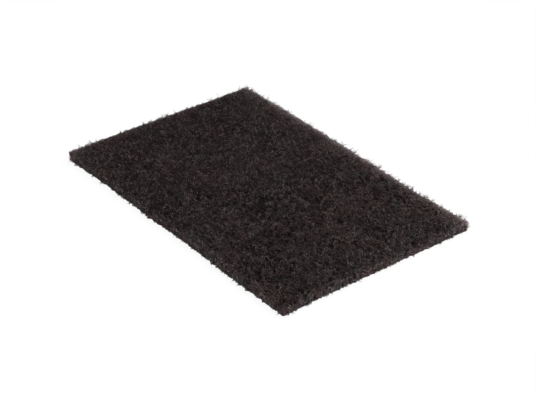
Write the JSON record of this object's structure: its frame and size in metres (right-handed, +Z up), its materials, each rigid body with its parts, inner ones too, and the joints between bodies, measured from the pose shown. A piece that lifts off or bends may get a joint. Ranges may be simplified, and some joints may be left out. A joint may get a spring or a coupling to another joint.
{
  "type": "non-woven abrasive pad",
  "caption": "Flat rectangular hand pad of lofty non-woven abrasive fibre, dark charcoal, with tufted faces and plain cut edges.",
  "frame": {"origin": "middle of the underside, on the surface that the pad lies on", "axes": "+X along the length, +Y along the width, +Z up through the thickness"},
  "size_m": [0.232, 0.1518, 0.0069],
  "materials": {
    "charcoal_web": "matt tangled fibre coated with dark resin and grit"
  },
  "bodies": {
    "root": {"fibre_pad": "charcoal_web"}
  },
  "joints": []
}
